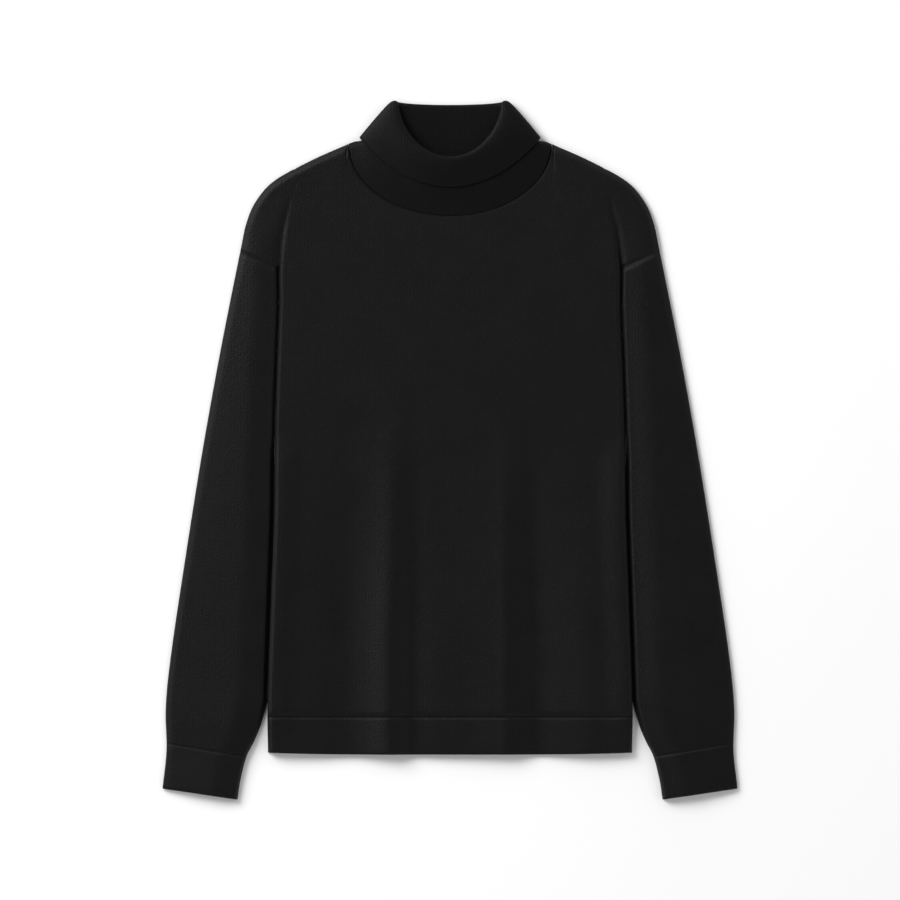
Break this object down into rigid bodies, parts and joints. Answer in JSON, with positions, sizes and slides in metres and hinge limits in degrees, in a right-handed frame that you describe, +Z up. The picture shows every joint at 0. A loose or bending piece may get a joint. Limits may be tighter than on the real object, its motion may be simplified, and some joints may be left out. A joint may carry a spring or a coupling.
{
  "type": "turtleneck sweater",
  "caption": "Fine-knit black long-sleeved sweater with a turned-down roll collar, laid flat on its back with the sleeves along the sides.",
  "frame": {"origin": "on the surface that the sweater rests on, under the middle of its bounding box", "axes": "+Y from the hem to the collar, +X to the viewer's right, +Z up out of the front of the sweater"},
  "size_m": [0.6388, 0.7762, 0.0198],
  "materials": {
    "knit": "matt fine plain knit, near black",
    "band_knit": "matt plain knit hem band and cuffs, near black",
    "collar_knit": "matt plain knit collar, near black"
  },
  "bodies": {
    "root": {"front_panel": "knit", "back_panel": "knit", "hem_band_front": "band_knit", "hem_band_back": "band_knit", "collar": "collar_knit", "sleeve_left": "knit", "sleeve_right": "knit", "cuff_left": "band_knit", "cuff_right": "band_knit"}
  },
  "joints": []
}
